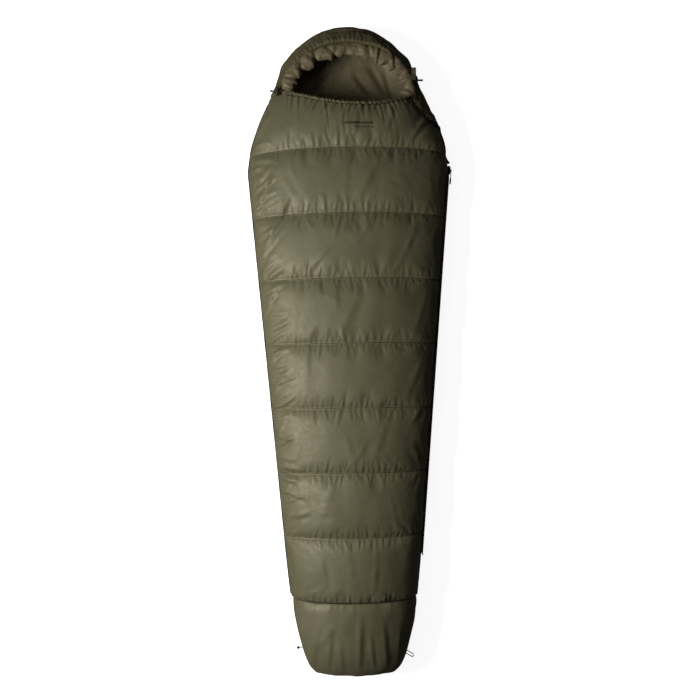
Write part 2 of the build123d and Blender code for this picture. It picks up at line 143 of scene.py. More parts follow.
def hardMaterial(name, colour, rough, grain, depth, metallic=0.0):  # moulded, enamelled or drawn finishes
    material, tree = newMaterial(name)
    place = addNode(tree, "ShaderNodeTexCoord").outputs["Object"]
    speckle = addNode(tree, "ShaderNodeTexNoise", {"Scale": grain, "Detail": 3.0}, {"Vector": place})
    gloss = addNode(tree, "ShaderNodeMapRange", {**noiseSpan, "To Min": rough - 0.08, "To Max": rough + 0.08},
                    {"Value": speckle.outputs["Fac"]})
    bump = addNode(tree, "ShaderNodeBump", {"Strength": 0.4, "Distance": depth},
                   {"Height": speckle.outputs["Fac"]})
    shader = addNode(tree, "ShaderNodeBsdfPrincipled", {"Base Color": linear(colour), "Metallic": metallic},
                     {"Roughness": gloss.outputs[0], "Normal": bump.outputs[0]})
    closeMaterial(tree, shader)
    return material


# Calendered nylon taffeta: pressed smooth, so it has a soft satin shine; threads drawn at 1.4 mm, coarser
# than the real 0.15 mm, so that they show
shellNylon = clothMaterial("calenderedOliveTaffeta", "#524e39", "#5f5a44", "#d2ccb6", crinkleScale=26.0,
                           crinkleDepth=0.9 * mm, rough=0.53, sheen=0.18, specular=0.6)
# The hood is cut from the same taffeta; its colours are darker than the shell's as painted shade, and its
# shine is lower
shadedHoodNylon = clothMaterial("paintedShadeOliveTaffeta", "#443f2d", "#524c38", "#c4bb90", cloudScale=14.0,
                          crinkleDepth=1.2 * mm, rough=0.58, sheen=0.12, specular=0.4)
# The back's taffeta is a browner dye lot, and more crinkled
backNylon = clothMaterial("calenderedBrownTaffeta", "#564d3a", "#665c47", "#c9bda0", crinkleScale=34.0,
                          crinkleDepth=2.2 * mm)
# The same taffeta doubled into hems; its colours are darker than the shell's as painted shade of the creases
# it lies in
creaseShadeNylon = clothMaterial("creaseShadeOliveTaffeta", "#3a3627", "#4c4734", "#c9c3a4", cloudScale=70.0,
                          crinkleScale=160.0, crinkleDepth=1.2 * mm)
# Uncoated lining taffeta: softer and a little browner than the shell
liningNylon = clothMaterial("softLiningTaffeta", "#534b38", "#645b46", "#cdc2a4", cloudScale=12.0,
                            crinkleDepth=2.0 * mm, thread=1.2 * mm, threadDepth=0.1 * mm, sheen=0.25)
# Woven polyester tape: coarse dull threads
tapeLook = {"cloudScale": 60.0, "crinkleScale": 150.0, "thread": 1.0 * mm, "threadDepth": 0.25 * mm,
            "sheen": 0.15, "specular": 0.3}
wovenTape = clothMaterial("wovenPolyesterTape", "#2c291d", "#3a3628", "#a9a488", **tapeLook, rough=0.75)
# The foot loop's tape is coloured light grey as a painted highlight
highlightTape = clothMaterial("wovenTapePaintedHighlight", "#8d866c", "#a39c82", "#d0caae", **tapeLook, rough=0.7)
# Braided elastic cord: round, with a cover of bundled threads that reads as a fine roughness
braidedCord = clothMaterial("braidedElasticCord", "#1f1d15", "#35321f", "#8f8a70", cloudScale=400.0,
                            crinkleScale=600.0, thread=1.0 * mm, threadDepth=0.4 * mm, rough=0.7, sheen=0.1,
                            specular=0.3)
# Hook and loop tape: matt, with a dense pile
hookPile = clothMaterial("hookAndLoopPile", "#464132", "#5d5744", "#b9b294", cloudScale=300.0,
                         crinkleScale=900.0, crinkleDepth=0.8 * mm, thread=1.3 * mm, threadDepth=0.4 * mm,
                         rough=0.85, sheen=0.3, specular=0.2)
# Bonded polyester thread: dark and dull, sunk in the seams
sewingThread = clothMaterial("bondedSewingThread", "#16140e", "#1f1d14", "#8f8a70", cloudScale=200.0,
                             crinkleScale=500.0, crinkleDepth=0.1 * mm, thread=0.8 * mm, threadDepth=0.1 * mm,
                             rough=0.9, sheen=0.0, specular=0.1)
# Extruded nylon coil: black, with a faint shine on each tooth
coilNylon = hardMaterial("extrudedBlackNylonCoil", "#141410", rough=0.4, grain=900.0, depth=0.05 * mm)
# Enamelled die-cast zinc: black paint over metal, the shiniest part
enamelledZinc = hardMaterial("enamelledDieCastZinc", "#17170f", rough=0.35, grain=700.0, depth=0.05 * mm,
                             metallic=0.4)
# Moulded rubber: black and matt
softRubber = hardMaterial("mouldedSoftRubber", "#15150f", rough=0.7, grain=1200.0, depth=0.1 * mm)
# Moulded acetal with a spark-eroded texture: a dull, even plastic
mouldedAcetal = hardMaterial("mouldedAcetal", "#2a281d", rough=0.45, grain=1500.0, depth=0.06 * mm)
# Drawn spring wire: bright
springWire = hardMaterial("drawnSpringWire", "#a5a5a2", rough=0.3, grain=1500.0, depth=0.03 * mm,
                          metallic=1.0)
# Screen print ink: flat and dark
screenInk = hardMaterial("screenPrintInk", "#2b281c", rough=0.6, grain=900.0, depth=0.05 * mm)
print("materials ready")

# The cord of the foot, on the points of its route
footCordRoute = [(-168.5, -1031, 50), (-178, -1034, 46), (-185.5, -1038, 36), (-189.5, -1041, 24),
                 (-195.5, -1045, 13), (-203, -1049, 5)]
cordCurve = bpy.data.curves.new("footCord", "CURVE")
cordCurve.dimensions = "3D"
cordCurve.bevel_depth = 1.5 * mm
cordCurve.bevel_resolution = 4
cordCurve.resolution_u = 16
cordCurve.use_fill_caps = True
cordLine = cordCurve.splines.new("NURBS")
cordLine.points.add(len(footCordRoute) - 1)
for point, spot in zip(cordLine.points, footCordRoute):
    point.co = (spot[0] * mm, spot[1] * mm, spot[2] * mm, 1.0)
cordLine.order_u = 3
cordLine.use_endpoint_u = True
footCord = bpy.data.objects.new("footCord", cordCurve)
scene.collection.objects.link(footCord)
cordCurve.materials.append(braidedCord)
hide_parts("foot_cord")
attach(footCord, "root")

# The bag's body: half width, height of the crown and of the underside along it, in millimetres
sideHeight = 92  # of the side seams, in millimetres
sideZ = sideHeight * mm
headY, footSeam = 1.1, -0.844
flatShare = 0.5
sideSlope, sideMid = 0.0852, 0.291
bodyTables = {
    "half": [
        (-1100, 137), (-1079, 157), (-1038, 175), (-997, 187), (-914, 205), (-844, 217), (-700, 231.4),
        (612, 343.1), (694, 332), (777, 304), (859, 266), (907, 241), (976, 220), (1004, 196), (1031, 167),
        (1059, 139), (1086, 94), (1100, 40)],
    "crown": [
        (-1100, 150), (-1079, 174), (-1038, 194), (-997, 205), (-844, 214), (0, 216), (694, 216), (777, 211),
        (859, 196), (976, 180), (1031, 168), (1059, 152), (1086, 130), (1100, 112)],
    "under": [(-1100, 30), (-1079, 12), (-1038, 0), (1004, 0), (1059, 15), (1086, 40), (1100, 62)],
}
stationY = np.linspace(-1.1, 1.1, 1101)


def smoothed(table, reach):  # a table's straight runs with their corners eased
    ys, values = np.array(table, float).T * mm
    run = np.interp(stationY, ys, values)
    weights = np.hanning(2 * reach + 1)
    padded = np.concatenate([np.full(reach, run[0]), run, np.full(reach, run[-1])])
    eased = np.convolve(padded, weights / weights.sum(), "valid")
    closeness = np.clip((1.1 - np.abs(stationY)) / 0.05, 0, 1)  # the ends keep their own sizes
    return eased * closeness + run * (1 - closeness)


bodyRuns = {key: smoothed(table, 16) for key, table in bodyTables.items()}


def bodySize(key, y):
    return np.interp(y, stationY, bodyRuns[key])


def bodyPoint(y, turn, depth):  # a point in the wall; turn 0 is the zip side, 90 the crown, 270 underneath
    half, crown, under = bodySize("half", y), bodySize("crown", y), bodySize("under", y)
    angle = np.radians(turn)
    topX = (half - depth) * np.cos(angle)
    topZ = sideZ + (crown - sideZ - depth) * np.sin(angle)
    share = np.clip((turn - 180) / 180, 0, 1)
    leftTurn = np.clip(share / 0.3, 0, 1) * math.pi / 2
    rightTurn = np.clip((1 - share) / 0.3, 0, 1) * math.pi / 2
    flat = flatShare * half
    reach = np.maximum(half - flat - depth, 0.002)
    middle = -flat + 2 * flat * np.clip((share - 0.3) / 0.4, 0, 1)
    lowX = np.where(share < 0.3, -(flat + reach * np.cos(leftTurn)),
                    np.where(share > 0.7, flat + reach * np.cos(rightTurn), middle))
    drop = sideZ - under - depth
    lowZ = sideZ - drop * np.minimum(np.sin(leftTurn), np.sin(rightTurn))
    onTop = (turn <= 180) | (turn >= 360)
    return np.stack([np.where(onTop, topX, lowX), y + 0 * turn, np.where(onTop, topZ, lowZ)], -1)


def surfaceHeight(x, y):
    arch = np.sqrt(np.clip(1 - (x / bodySize("half", y)) ** 2, 0, 1))
    return sideZ + (bodySize("crown", y) - sideZ) * arch


seamLines = np.array([-844 + 215 * i for i in range(8)]) * mm


def seamNearness(y, reach):
    distance = np.abs(y[..., None] - seamLines).min(-1)
    return np.exp(-(distance / reach) ** 1.15)


def normalsOf(sheet):  # outward directions of a sheet of points, rows by columns
    across = np.gradient(sheet, axis=1)
    upward = np.gradient(sheet, axis=0)
    normal = np.cross(across, upward)
    return normal / np.maximum(np.linalg.norm(normal, axis=-1, keepdims=True), 1e-9)


def pushedOut(sheet, lift):
    return sheet + normalsOf(sheet) * lift[..., None]


def gridMesh(bm, sheet):  # a grid laid on a sheet of points; gives each vertex's row and column
    rows, columns = sheet.shape[0] - 1, sheet.shape[1] - 1
    verts = bmesh.ops.create_grid(bm, x_segments=columns, y_segments=rows, size=0.5, calc_uvs=False)["verts"]
    spots = [(round((v.co.y + 0.5) * rows), round((v.co.x + 0.5) * columns)) for v in verts]
    for vert, spot in zip(verts, spots):
        vert.co = sheet[spot]
    return spots


def finishPiece(bm, name, materials, smooth=True):
    mesh = bpy.data.meshes.new(name)
    bm.to_mesh(mesh)
    bm.free()
    for material in materials:
        mesh.materials.append(material)
    for polygon in mesh.polygons:
        polygon.use_smooth = smooth
    piece = bpy.data.objects.new(name, mesh)
    scene.collection.objects.link(piece)
    return piece


def paddedPiece(name, outer, inner, materials, weld=0.0):  # two sheets of points joined round their edges
    bm = bmesh.new()
    gridMesh(bm, outer)
    shown = set(bm.faces)
    gridMesh(bm, inner)
    hidden = [f for f in bm.faces if f not in shown]
    bmesh.ops.reverse_faces(bm, faces=hidden)
    for face in hidden:
        face.material_index = 1
    if weld:
        bmesh.ops.remove_doubles(bm, verts=bm.verts[:], dist=weld)
    rim = [e for e in bm.edges if e.is_boundary]
    bmesh.ops.bridge_loops(bm, edges=rim)
    bmesh.ops.recalc_face_normals(bm, faces=bm.faces[:])
    return finishPiece(bm, name, materials)


def relaxed(sheet, held, cloth):  # the sheet after its cloth has grown and puffed out between the held rows
    bm = bmesh.new()
    spots = gridMesh(bm, sheet)
    piece = finishPiece(bm, "relaxing", [])
    group = piece.vertex_groups.new(name="held")
    for index, (row, column) in enumerate(spots):
        if held[row, column] > 0:
            group.add([index], float(held[row, column]), "REPLACE")
    modifier = piece.modifiers.new("relax", "CLOTH")
    settings = modifier.settings
    for key, value in cloth["settings"].items():
        setattr(settings, key, value)
    settings.effector_weights.gravity = 0
    modifier.collision_settings.use_collision = False
    modifier.point_cache.frame_start = 1
    modifier.point_cache.frame_end = cloth["frames"]
    scene.frame_start, scene.frame_end = 1, cloth["frames"]
    for step in range(1, cloth["frames"] + 1):
        scene.frame_set(step)
    final = piece.evaluated_get(bpy.context.evaluated_depsgraph_get()).to_mesh()
    settled = np.zeros(len(final.vertices) * 3, np.float32)
    final.vertices.foreach_get("co", settled)
    moved = np.array(sheet, float)
    for (row, column), spot in zip(spots, settled.reshape(-1, 3)):
        moved[row, column] = spot
    bpy.data.objects.remove(piece)
    scene.frame_set(1)
    shift = moved - sheet
    far = np.linalg.norm(shift, axis=-1, keepdims=True)
    print("cloth moved by up to", round(float(far.max()) / mm, 1), "mm")
    cap = cloth["cap"]
    return sheet + shift * (cap * np.tanh(far / cap) / np.maximum(far, 1e-9))


random = np.random.default_rng(7)


def bulge(distance, width):
    return np.exp(-(distance / width) ** 2)


def ridge(x, y, start, end, width, height):  # a soft fold from start to end, in millimetres
    run = np.array(end, float) - np.array(start, float)
    length = np.linalg.norm(run)
    along = ((x / mm - start[0]) * run[0] + (y / mm - start[1]) * run[1]) / length ** 2
    off = ((x / mm - start[0]) * run[1] - (y / mm - start[1]) * run[0]) / length
    fade = np.clip(1 - (2 * np.abs(along - 0.5)) ** 2.5, 0, 1)
    fade = np.where((along < 0) | (along > 1), 0, fade)
    # a fold has a steep side and a gentle one
    shape = bulge(off, width) - 0.55 * bulge(off - 1.7 * width, 1.1 * width)
    return height * mm * fade * shape


def addFolds(lift, x, y, folds):  # each fold: start, end, width and height
    for fold in folds:
        lift += ridge(x, y, *fold)


def seamPuckers(x, y, lines, quilting, leftOut=()):  # short gathers that run off each sewn seam
    lift = np.zeros_like(x)
    low, high = x.min() / mm, x.max() / mm
    calm = 1 - 0.6 * np.clip((x / mm - 60) / 130, 0, 1)  # the zip side is pulled smoother
    for line in lines:
        for side in (-1, 1):
            if (line, side) in leftOut:
                continue
            spot = low + random.uniform(5, 20)
            while spot < high:
                width = random.uniform(*quilting["width"])
                length = random.uniform(*quilting["length"]) * (1.8 if random.random() < 0.12 else 1.0)
                height = random.uniform(*quilting["height"])
                tilt = random.normal(0, 0.22)
                away = (y / mm - line / mm) * side
                centre = spot + tilt * away
                fade = calm * (1.0 if side > 0 else 0.6) * np.where(
                    away < 0, 0, (1 - np.exp(-away / 4)) * np.exp(-(away / length) ** 1.6))
                off = x / mm - centre
                lift += height * mm * fade * (bulge(off, width) - 0.6 * bulge(off - 1.8 * width, width))
                spot += random.uniform(*quilting["spacing"])
    return lift


def rolling(shape, reach, height):  # smooth seeded unevenness over rows and columns
    noise = random.normal(0, 1, shape)
    for axis, spread in ((0, reach[0]), (1, reach[1])):
        weights = np.hanning(2 * spread + 1)
        weights /= weights.sum()
        noise = np.apply_along_axis(lambda line: np.convolve(np.pad(line, spread, "edge"), weights, "valid"),
                                    axis, noise)
    return height * noise / noise.std()


def settle(piece, slot, body, *solids):  # hides the solids a piece stands for and ties it to what it moves with; slot, its finish, is not used
    if solids:
        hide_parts(*solids)
    if body == "fold":  # its transform is baked into its mesh and it is tied to no body
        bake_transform(piece)
    else:
        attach(piece, body)


# Outline of the top panel: the chest edge and the upper zip arc, leaning towards the zip as they rise
topOutline = {"chest": [(-241, 865), (-70, 800), (177, 834)], "zip": [(177, 834), (215, 783), (308, 745)],
              "lean": (0.3866, 0.1174)}


def circleThrough(points):  # middle and radius of the circle through three points
    first, second, third = (complex(*point) for point in points)
    turn = (third - first) / (second - first)
    middle = first + (second - first) * (turn - abs(turn) ** 2) / (2j * turn.imag)
    return middle.real, middle.imag, abs(first - middle)


def outlineY(x):  # the panel's end on the plane of the side seams, in millimetres
    result = np.where(x < -241, 865 + (-241 - x) * 0.09, 745 - (x - 308) * 0.21)
    for key, low, high in (("chest", -241, 177), ("zip", 177, 308)):
        cx, cy, radius = circleThrough(topOutline[key])
        arc = cy - np.sqrt(np.clip(radius**2 - (x - cx) ** 2, 0, None))
        result = np.where((x >= low) & (x <= high), arc, result)
    return result


def topEnd(turn):  # where each lengthwise line of the top panel ends
    low, high = np.full_like(turn, 0.70), np.full_like(turn, 0.90)
    leanX, leanY = topOutline["lean"]
    for _ in range(40):
        middle = (low + high) / 2
        spot = bodyPoint(middle, turn, 0.0) / mm
        rise = spot[..., 2] - sideHeight
        baseX, baseY = spot[..., 0] - leanX * rise, spot[..., 1] - leanY * rise
        inside = baseY < outlineY(baseX)
        low, high = np.where(inside, middle, low), np.where(inside, high, middle)
    return low


def runAlong(points):  # the length run at each point of a line
    return np.concatenate([[0], np.cumsum(np.linalg.norm(np.diff(points, axis=0), axis=1))])


def pointsAlong(points, shares):  # points at shares of a line's length
    run = runAlong(points)
    spots = np.asarray(shares) * run[-1]
    return np.stack([np.interp(spots, run, column) for column in points.T], -1)


def evenTurns(count, start, end):  # turns spaced evenly along a typical arch
    turns = np.radians(np.linspace(0, 180, 721))
    run = runAlong(np.stack([0.3 * np.cos(turns), 0.123 * np.sin(turns)], -1))
    share = np.interp(np.radians([start, end]), turns, run)
    return np.degrees(np.interp(np.linspace(share[0], share[1], count), run, turns))


# The top quilt: one continuous panel from the foot seam to the chest edge
topQuilt = {
    "seamRows": 40, "chestRows": 36, "columns": 176, "dip": 10 * mm, "puff": 3 * mm, "wall": 29 * mm,
    "pinch": 12 * mm,
    "quilting": {"width": (3.0, 6.5), "length": (8, 26), "height": (0.9, 3.0), "spacing": (12, 32)},
    "cloth": {"frames": 16, "cap": 8 * mm, "settings": {
        "quality": 5, "mass": 0.25, "tension_stiffness": 12, "compression_stiffness": 12,
        "shear_stiffness": 4, "bending_stiffness": 0.12, "tension_damping": 10, "compression_damping": 10,
        "shear_damping": 10, "bending_damping": 1.0, "air_damping": 2.0, "vertex_group_mass": "held",
        "shrink_min": -0.018, "use_pressure": True, "uniform_pressure_force": 2.0}}}
turns = evenTurns(topQuilt["columns"] + 1, 180, 0)
ends = topEnd(turns)
straightRows = np.linspace(seamLines[0], seamLines[7], 7 * topQuilt["seamRows"] + 1)
chestShare = np.linspace(0, 1, topQuilt["chestRows"] + 1)[1:]
rowsY = np.concatenate([np.repeat(straightRows[:, None], len(turns), 1),
                        seamLines[7] + chestShare[:, None] * (ends[None, :] - seamLines[7])])
turnGrid = np.repeat(turns[None, :], rowsY.shape[0], 0)
towardsCrown = np.sin(np.radians(turnGrid))
near = 0.55 * seamNearness(rowsY, 0.011) + 0.45 * seamNearness(rowsY, 0.045)
chestClose = bulge(ends[None, :] - rowsY, 0.03)
depth = (topQuilt["dip"] * near - topQuilt["puff"] * (1 - near)) * (0.35 + 0.65 * towardsCrown)
depth += 5 * mm * chestClose * towardsCrown
outer = bodyPoint(rowsY, turnGrid, depth)
flatX, flatY = outer[..., 0], outer[..., 1]

lift = seamPuckers(flatX, flatY, seamLines[1:], topQuilt["quilting"])
lift += seamPuckers(flatX, flatY, seamLines[:1], topQuilt["quilting"], leftOut=[(seamLines[0], -1)])
foldsAcross = [
    ((-318, 268), (-185, 520), 9, 4.5), ((-300, 300), (-150, 470), 7, 3.0),
    ((-325, 430), (-238, 610), 8, 4.0), ((-308, 545), (-215, 650), 7, 3.0),
    ((-322, 700), (-250, 800), 8, 3.0), ((-300, 100), (-240, 215), 8, 3.2),
    ((-285, -60), (-225, 10), 7, 2.6), ((-276, -170), (-205, -60), 7, 2.6),
    ((-262, -330), (-215, -215), 6, 2.4), ((-250, -520), (-200, -430), 6, 2.4),
    ((-150, 240), (-60, 330), 8, 1.8), ((20, 470), (110, 640), 12, 1.8), ((150, 250), (230, 420), 10, 2.0),
    ((200, 20), (255, 190), 9, 2.0), ((170, -180), (240, -30), 9, 2.0), ((-40, 30), (40, 200), 14, 1.6),
    ((60, -390), (120, -220), 12, 1.6), ((-120, -600), (-60, -440), 12, 1.7),
    ((60, -820), (75, -650), 9, 1.8), ((-90, -800), (-110, -680), 9, 1.6), ((215, 700), (262, 770), 9, 3.0),
    ((-210, 690), (-120, 800), 14, 2.4), ((20, 690), (34, 790), 8, 2.2), ((120, 700), (150, 800), 9, 2.0)]
addFolds(lift, flatX, flatY, foldsAcross)
foldY = -560
while foldY < 700:  # short folds that run in from the left side seam
    edge = -bodySize("half", foldY * mm) / mm
    reach, drop = random.uniform(45, 105), random.uniform(-45, 25)
    start = (edge + random.uniform(4, 16), foldY)
    lift += ridge(flatX, flatY, start, (start[0] + reach, foldY - drop), random.uniform(5, 9),
                  random.uniform(2.4, 5.2))
    foldY += random.uniform(26, 58)
for _ in range(70):  # slack in each baffle
    middle = np.array([random.uniform(-290, 290), random.uniform(-820, 780)])
    lean, length = random.normal(math.pi / 2, 0.6), random.uniform(60, 150)
    reach = np.array([math.cos(lean), math.sin(lean)]) * length / 2
    lift += ridge(flatX, flatY, middle - reach, middle + reach, random.uniform(7, 15),
                  random.uniform(0.5, 1.4))
chestSpot = random.uniform(8, 16) - 215
while chestSpot < 205:  # streaks that run down from the gathered chest edge
    away = (ends[None, :] - flatY) / mm
    length, width = random.uniform(22, 85), random.uniform(3.5, 7.5)
    centre = chestSpot + random.normal(0, 0.25) * away + (0.25 if chestSpot > 60 else -0.1) * away
    fade = (1 - np.exp(-away / 5)) * np.exp(-(away / length) ** 1.8)
    off = flatX / mm - centre
    lift += random.uniform(1.6, 3.8) * mm * fade * (bulge(off, width) - 0.6 * bulge(off - 1.8 * width, width))
    chestSpot += random.uniform(11, 24)
lift += rolling(lift.shape, (16, 12), 0.9 * mm)
lift *= 0.25 + 0.75 * np.clip(towardsCrown * 3, 0, 1)
lift *= 1 - 0.85 * seamNearness(flatY, 0.0045)
lift -= 2.2 * mm * seamNearness(flatY, 0.004)  # the needle line pulls in further than the quilting round it
outer = pushedOut(outer, lift)

held = np.zeros(lift.shape)
held[::topQuilt["seamRows"], :][:8] = 1
held[-1, :] = 1
held[:, 0] = held[:, -1] = 1
outer = relaxed(outer, held, topQuilt["cloth"])
innerDepth = topQuilt["wall"] - topQuilt["pinch"] * near
innerDepth = innerDepth - 12 * mm * bulge(ends[None, :] - rowsY, 0.02)
inner = bodyPoint(rowsY, turnGrid, innerDepth)
inner = pushedOut(inner, rolling(lift.shape, (18, 14), 1.2 * mm))
inner[:, 0, 2] = inner[:, -1, 2] = sideZ + 0.5 * mm
topOuter = outer
quiltTop = paddedPiece("topQuilt", outer, inner, [shellNylon, liningNylon])
settle(quiltTop, "shell_nylon", "fold", "top_shell", "top_fill", "top_lining", "flap_shell", "flap_fill",
       "flap_lining")
print("top quilt made")

# The back quilt, from the foot seam to the crown, flat where it lies on the ground
backQuilt = {"rowPitch": 7.5 * mm, "columns": 110, "dip": 8 * mm, "puff": 3 * mm, "wall": 29 * mm,
             "quilting": {"width": (5, 10), "length": (14, 40), "height": (1.0, 3.0), "spacing": (22, 45)}}
backRows = int((headY - footSeam) / backQuilt["rowPitch"])
backY = np.linspace(footSeam, headY, backRows + 1)[:, None] + np.zeros((1, backQuilt["columns"] + 1))
backTurn = np.linspace(180, 360, backQuilt["columns"] + 1)[None, :] + np.zeros_like(backY)
overSide = np.clip(1 - np.abs(backTurn - 270) / 90, 0, 1)
backNear = seamNearness(backY, 0.028) * (backY < 0.70)
backDepth = (backQuilt["dip"] * backNear - backQuilt["puff"] * (1 - backNear)) * np.clip(overSide * 6, 0, 1)
backOuter = bodyPoint(backY, backTurn, backDepth)
acrossBack = (backTurn - 270) / 90 * 0.40
backLift = seamPuckers(acrossBack, backY, seamLines[1:8], backQuilt["quilting"])
backLift += rolling(backLift.shape, (9, 7), 1.1 * mm)
backLift *= np.clip(overSide * 8, 0, 1)
backOuter = pushedOut(backOuter, backLift)
backOuter[..., 2] = np.maximum(backOuter[..., 2], 0.4 * mm)
backInner = bodyPoint(np.clip(backY, footSeam, 1.0716), backTurn, backQuilt["wall"] - 6 * mm * backNear)
liningFolds = [
    ((-150, 905), (-30, 1010), 12, 5), ((-118, 880), (-60, 960), 9, 4), ((20, 985), (85, 900), 10, 5),
    ((75, 1010), (150, 890), 12, 6), ((130, 985), (165, 870), 9, 5), ((-60, 860), (10, 930), 12, 4),
    ((-170, 860), (-120, 900), 9, 4), ((30, 850), (60, 905), 10, 3.5), ((-20, 1000), (30, 1030), 10, 3)]
innerLift = rolling(backLift.shape, (10, 8), 1.0 * mm)
addFolds(innerLift, backInner[..., 0], backInner[..., 1], liningFolds)
backInner = pushedOut(backInner, -innerLift * np.clip(overSide * 8, 0, 1))
quiltBack = paddedPiece("backQuilt", backOuter, backInner, [backNylon, liningNylon])
settle(quiltBack, "shell_nylon", "root", "back_shell", "back_fill", "back_lining")
print("back quilt made")

# The foot box: a ring closed by a rounded end
footBox = {"columns": 190, "rows": 44, "capRows": 26, "dip": 10 * mm, "puff": 2.5 * mm, "wall": 29 * mm}
ringTurn = np.concatenate([evenTurns(96, 0, 180), 180 + np.linspace(0, 180, 96)[1:]])
bodyRows = np.linspace(-0.8443, -headY, footBox["rows"] + 1)
capShare = np.linspace(0, 1, footBox["capRows"] + 1)[1:]
footSheets = []
for depthHere, endY in ((0.0, -headY), (footBox["wall"], -1.0716)):
    rows = np.clip(bodyRows, endY, None)[:, None] + np.zeros((1, len(ringTurn)))
    ring = ringTurn[None, :] + np.zeros_like(rows)
    close = seamNearness(rows, 0.02)
    quilted = footBox["dip"] * close - footBox["puff"] * (1 - close)
    if depthHere == 0:
        deep = quilted * np.clip(np.sin(np.radians(ring)) * 3 + 0.6, 0.15, 1)
    else:
        deep = depthHere - 0.6 * quilted
    sheet = bodyPoint(rows, ring, deep)
    rim, middle = sheet[-1], np.array([0.0, endY - (3 * mm if depthHere == 0 else 0), sideZ])
    left = (1 - capShare * 0.999)[:, None, None]  # of the way from the middle out to the rim
    cap = middle + (rim - middle) * np.concatenate([left, left ** 2, left], -1)
    footSheets.append(np.concatenate([sheet, cap])[::-1])
footOuter, footInner = footSheets
footX, footY = footOuter[..., 0], footOuter[..., 1]
footLift = seamPuckers(footX, footY, seamLines[:1], topQuilt["quilting"], leftOut=[(seamLines[0], 1)])
addFolds(footLift, footX, footY, [
    ((-150, -1080), (-120, -905), 9, 2.6), ((-95, -1085), (-80, -930), 8, 2.8),
    ((-45, -1090), (-52, -960), 9, 2.2), ((10, -1085), (18, -880), 10, 3.0),
    ((62, -1085), (48, -940), 8, 2.4), ((105, -1080), (92, -900), 9, 2.6),
    ((140, -1070), (150, -930), 9, 2.6), ((-130, -1000), (-60, -900), 12, 2.0)])
footLift += rolling(footLift.shape, (9, 7), 0.9 * mm)
footLift *= np.clip((footOuter[..., 2] - 0.02) / 0.03, 0, 1) * np.clip((-0.8443 - footY) / 0.006, 0, 1)
footLift *= np.arange(footLift.shape[0])[:, None] > 8  # the middle of the end stays plain
footLift[:, -1] = footLift[:, 0]
footOuter = pushedOut(footOuter, -footLift)  # these columns run the other way round
footOuter[..., 2] = np.maximum(footOuter[..., 2], 0.4 * mm)
for sheet in (footOuter, footInner):
    sheet[:, -1] = sheet[:, 0]
boxFoot = paddedPiece("footBox", footOuter, footInner, [shellNylon, liningNylon], weld=0.05 * mm)
settle(boxFoot, "shell_nylon", "root", "foot_shell", "foot_fill", "foot_lining")
print("foot box made")


def sideLine(ys, side):
    return np.stack([side * bodySize("half", ys), ys], -1)


# The hood: the wall over the crown, down to the shoulder beside the zip
hoodWall = {"crownColumns": 190, "shoulderColumns": 44, "rows": 30, "wall": 26 * mm, "puff": 5 * mm,
            "centre": (5 * mm, 872 * mm), "oval": (225 * mm, 160 * mm), "crease": 0.62, "creaseDepth": 5 * mm}


def onOval(turns, inset):  # the oval of the face opening, seen in plan
    (middleX, middleY), (wide, deep) = hoodWall["centre"], hoodWall["oval"]
    return np.stack([middleX + (wide - inset) * np.cos(turns), middleY + (deep - inset) * np.sin(turns)], -1)


ovalLine = onOval(np.radians(np.linspace(182, -13, 200)), 0)
flatCrown = np.stack([np.linspace(-0.04, 0.04, 12)[1:-1], np.full(10, headY)], -1)
crownLine = np.concatenate([sideLine(np.linspace(0.868, headY, 80), -1), flatCrown,
                            sideLine(np.linspace(headY, 0.836, 90), 1)])
zipSide = topOuter[-1][topOuter[-1][:, 0] > 0.2242][:, :2] + np.array([1.5, 2.0]) * mm
shoulderInner = np.concatenate([ovalLine[-1:], zipSide])
shoulderOuter = sideLine(np.linspace(0.836, 0.745, 40), 1)
crownShares = np.linspace(0, 1, hoodWall["crownColumns"] + 1)
shoulderShares = np.linspace(0, 1, hoodWall["shoulderColumns"] + 1)[1:]
lowLine = np.concatenate([pointsAlong(crownLine, crownShares), pointsAlong(shoulderOuter, shoulderShares)])
highLine = np.concatenate([pointsAlong(ovalLine, crownShares), pointsAlong(shoulderInner, shoulderShares)])
rise = np.linspace(0, 1, hoodWall["rows"] + 1)[:, None]
lean = 1 - np.cos(rise * math.pi / 2)
plan = lowLine[None] + (highLine - lowLine)[None] * lean[..., None]
height = surfaceHeight(plan[..., 0], plan[..., 1])
height = sideZ + (height - sideZ) * np.clip(rise / 0.18, 0, 1) ** 0.6
endDrop = np.where(lowLine[:, 1] > headY - 0.5 * mm, sideZ - bodyRuns["under"][-1] - 1.0 * mm, 0)
height = height - endDrop * (1 - np.clip(rise / 0.12, 0, 1))  # the crown end closes down onto the back
hoodOuter = np.concatenate([plan, height[..., None]], -1)
hoodOuter = hoodOuter[:, ::-1]
hoodRun = np.linspace(1, 0, hoodOuter.shape[1])[None, :] + np.zeros_like(rise)
onCrown = 1 / (1 + np.exp((hoodRun - 0.80) / 0.02))
hoodLift = hoodWall["puff"] * np.sin(math.pi * rise) * np.ones_like(hoodRun)
hoodLift -= hoodWall["creaseDepth"] * bulge(rise - hoodWall["crease"], 0.05) * onCrown
spot = 0.01
while spot < 0.99:  # gathers that run out from the drawn opening edge, and off the crown seam
    width, reach = random.uniform(0.0025, 0.006), random.uniform(0.15, 0.5)
    high = random.uniform(1.0, 3.2) * mm
    centre = spot + random.normal(0, 0.012) * (1 - rise)
    off = hoodRun - centre
    hoodLift += high * (bulge(off, width) - 0.5 * bulge(off - 1.8 * width, width)) * bulge(1 - rise, reach)
    hoodLift += 0.6 * high * bulge(off - 0.011, width) * onCrown * bulge(rise - hoodWall["crease"], 0.16)
    spot += random.uniform(0.008, 0.022)
hoodLift += rolling(hoodLift.shape, (5, 8), 1.2 * mm)
hoodLift *= np.clip(rise * 6, 0, 1)
hoodOut = normalsOf(hoodOuter)
hoodInner = hoodOuter - hoodOut * (hoodWall["wall"] * np.clip(1.0 - 0.55 * rise ** 4, 0, 1))[..., None]
hoodInner[..., 2] = np.maximum(hoodInner[..., 2], sideZ + 0.3 * mm)
